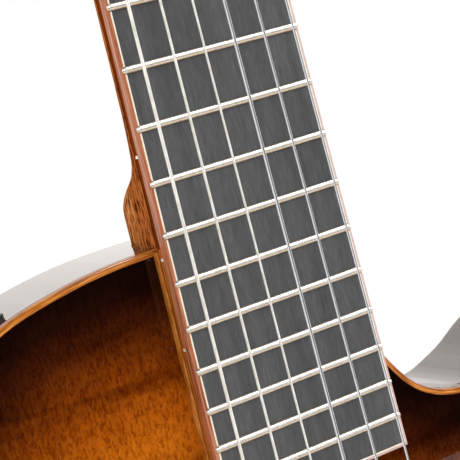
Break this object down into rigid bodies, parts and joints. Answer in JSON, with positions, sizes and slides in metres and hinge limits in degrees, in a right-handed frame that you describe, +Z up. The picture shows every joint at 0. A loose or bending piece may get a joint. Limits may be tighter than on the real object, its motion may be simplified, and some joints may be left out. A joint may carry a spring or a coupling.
{
  "type": "nylon-string guitar",
  "caption": "Slim chambered nylon-string guitar with a cutaway, bound fingerboard, slotted headstock, tie bridge and side preamp controls.",
  "frame": {"origin": "where the fingerboard meets the nut, on the centre line of the playing surface; the neck is held here by a hanger", "axes": "+Z up the neck to the headstock, -Y out of the strings and top, +X to the treble side"},
  "size_m": [0.3478, 0.0854, 1.0184],
  "materials": {
    "spruce_sunburst": "sunburst spruce, amber brown in the middle to near black at the edge, gloss lacquer",
    "rim_wood": "dark stained mahogany sides, high gloss",
    "back_wood": "dark stained mahogany, high gloss",
    "binding_wood": "orange-brown figured wood binding, gloss",
    "neck_wood": "open-pored orange-brown mahogany, satin",
    "brace_wood": "bare spruce",
    "board_wood": "dark grey ebony, oiled satin",
    "board_binding_wood": "reddish-brown rosewood binding, gloss",
    "purfling": "cream line",
    "dot": "white",
    "fret_wire": "polished nickel silver",
    "bone": "polished bone",
    "rosewood": "dark rosewood, satin",
    "brass_plate": "polished",
    "steel": "satin",
    "key_parts": "pearl button on a plated worm shaft",
    "roller_parts": "white roller with a brass gear",
    "wound_string": "silver-plated winding",
    "nylon_string": "clear nylon",
    "black_plastic": "satin",
    "knob_black": "soft gloss",
    "battery_case": "plain",
    "chrome": "polished",
    "felt": "felt",
    "piezo": "braided foil strip"
  },
  "bodies": {
    "instrument": {"body_core": "rim_wood", "top_plate": "spruce_sunburst", "back_plate": "back_wood", "top_binding": "binding_wood", "back_binding": "rim_wood", "top_braces": "brace_wood", "neck": "neck_wood", "heel_cap": "rosewood", "truss_rod": "steel", "truss_rod_cover": "rosewood", "fingerboard": "board_wood", "fingerboard_purfling": "purfling", "fingerboard_binding": "board_binding_wood", "side_dots": "dot", "frets": "fret_wire", "nut": "bone", "headstock_veneer": "rosewood", "tuner_plate_bass": "brass_plate", "tuner_plate_treble": "brass_plate", "tuner_screws": "brass_plate", "bridge": "rosewood", "tie_block_inlay": "bone", "saddle": "bone", "saddle_pickup": "piezo", "preamp_panel": "black_plastic", "preamp_box": "black_plastic", "battery_box": "black_plastic", "battery": "battery_case", "output_jack": "chrome", "jack_plate": "chrome", "strap_button_end": "chrome", "strap_button_heel": "chrome", "strap_screws": "steel", "strap_felts": "felt", "string_1": "wound_string", "string_2": "wound_string", "string_3": "wound_string", "string_4": "nylon_string", "string_5": "nylon_string", "string_6": "nylon_string"},
    "key_1": {"tuner_key_1": "key_parts"},
    "roller_1": {"string_roller_1": "roller_parts"},
    "key_2": {"tuner_key_2": "key_parts"},
    "roller_2": {"string_roller_2": "roller_parts"},
    "key_3": {"tuner_key_3": "key_parts"},
    "roller_3": {"string_roller_3": "roller_parts"},
    "key_4": {"tuner_key_4": "key_parts"},
    "roller_4": {"string_roller_4": "roller_parts"},
    "key_5": {"tuner_key_5": "key_parts"},
    "roller_5": {"string_roller_5": "roller_parts"},
    "key_6": {"tuner_key_6": "key_parts"},
    "roller_6": {"string_roller_6": "roller_parts"},
    "knob_1": {"preamp_knob_1": "knob_black"},
    "knob_2": {"preamp_knob_2": "knob_black"},
    "knob_3": {"preamp_knob_3": "knob_black"},
    "rod_nut": {"truss_rod_nut": "steel"},
    "door": {"battery_door": "black_plastic"}
  },
  "joints": [
    {"name": "key_1_turn", "type": "hinge", "parent": "instrument", "child": "key_1", "pos_m": [-0.0396, 0.03824, 0.07832], "axis": [0, 0.9703, -0.2419], "continuous": true},
    {"name": "roller_1_turn", "type": "hinge", "parent": "instrument", "child": "roller_1", "pos_m": [-0.03, 0.03065, 0.07062], "axis": [1, 0, 0], "continuous": true},
    {"name": "key_2_turn", "type": "hinge", "parent": "instrument", "child": "key_2", "pos_m": [-0.0396, 0.04671, 0.11228], "axis": [0, 0.9703, -0.2419], "continuous": true},
    {"name": "roller_2_turn", "type": "hinge", "parent": "instrument", "child": "roller_2", "pos_m": [-0.03, 0.03912, 0.10458], "axis": [1, 0, 0], "continuous": true},
    {"name": "key_3_turn", "type": "hinge", "parent": "instrument", "child": "key_3", "pos_m": [-0.0396, 0.05517, 0.14624], "axis": [0, 0.9703, -0.2419], "continuous": true},
    {"name": "roller_3_turn", "type": "hinge", "parent": "instrument", "child": "roller_3", "pos_m": [-0.03, 0.04759, 0.13854], "axis": [1, 0, 0], "continuous": true},
    {"name": "key_4_turn", "type": "hinge", "parent": "instrument", "child": "key_4", "pos_m": [0.0396, 0.05517, 0.14624], "axis": [0, 0.9703, -0.2419], "continuous": true},
    {"name": "roller_4_turn", "type": "hinge", "parent": "instrument", "child": "roller_4", "pos_m": [0.03, 0.04759, 0.13854], "axis": [1, 0, 0], "continuous": true},
    {"name": "key_5_turn", "type": "hinge", "parent": "instrument", "child": "key_5", "pos_m": [0.0396, 0.04671, 0.11228], "axis": [0, 0.9703, -0.2419], "continuous": true},
    {"name": "roller_5_turn", "type": "hinge", "parent": "instrument", "child": "roller_5", "pos_m": [0.03, 0.03912, 0.10458], "axis": [1, 0, 0], "continuous": true},
    {"name": "key_6_turn", "type": "hinge", "parent": "instrument", "child": "key_6", "pos_m": [0.0396, 0.03824, 0.07832], "axis": [0, 0.9703, -0.2419], "continuous": true},
    {"name": "roller_6_turn", "type": "hinge", "parent": "instrument", "child": "roller_6", "pos_m": [0.03, 0.03065, 0.07062], "axis": [1, 0, 0], "continuous": true},
    {"name": "knob_1_turn", "type": "hinge", "parent": "instrument", "child": "knob_1", "pos_m": [-0.08583, 0.0285, -0.40501], "axis": [-0.3837, 0, 0.9235], "range_deg": [-150, 150]},
    {"name": "knob_2_turn", "type": "hinge", "parent": "instrument", "child": "knob_2", "pos_m": [-0.10069, 0.0285, -0.41252], "axis": [-0.5291, 0, 0.8485], "range_deg": [-150, 150]},
    {"name": "knob_3_turn", "type": "hinge", "parent": "instrument", "child": "knob_3", "pos_m": [-0.11459, 0.0285, -0.42391], "axis": [-0.7197, 0, 0.6943], "range_deg": [-150, 150]},
    {"name": "rod_nut_turn", "type": "hinge", "parent": "instrument", "child": "rod_nut", "pos_m": [0, 0.0102, 0.008], "axis": [0, 0, 1], "range_deg": [-180, 180]},
    {"name": "battery_door_swing", "type": "hinge", "parent": "instrument", "child": "door", "pos_m": [-0.1, 0.0475, -0.7108], "axis": [1, 0, 0], "range_deg": [0, 95]}
  ],
  "couplings": [
    {"joint": "roller_1_turn", "follows": "key_1_turn", "ratio": 0.071429},
    {"joint": "roller_2_turn", "follows": "key_2_turn", "ratio": 0.071429},
    {"joint": "roller_3_turn", "follows": "key_3_turn", "ratio": 0.071429},
    {"joint": "roller_4_turn", "follows": "key_4_turn", "ratio": 0.071429},
    {"joint": "roller_5_turn", "follows": "key_5_turn", "ratio": 0.071429},
    {"joint": "roller_6_turn", "follows": "key_6_turn", "ratio": 0.071429}
  ]
}
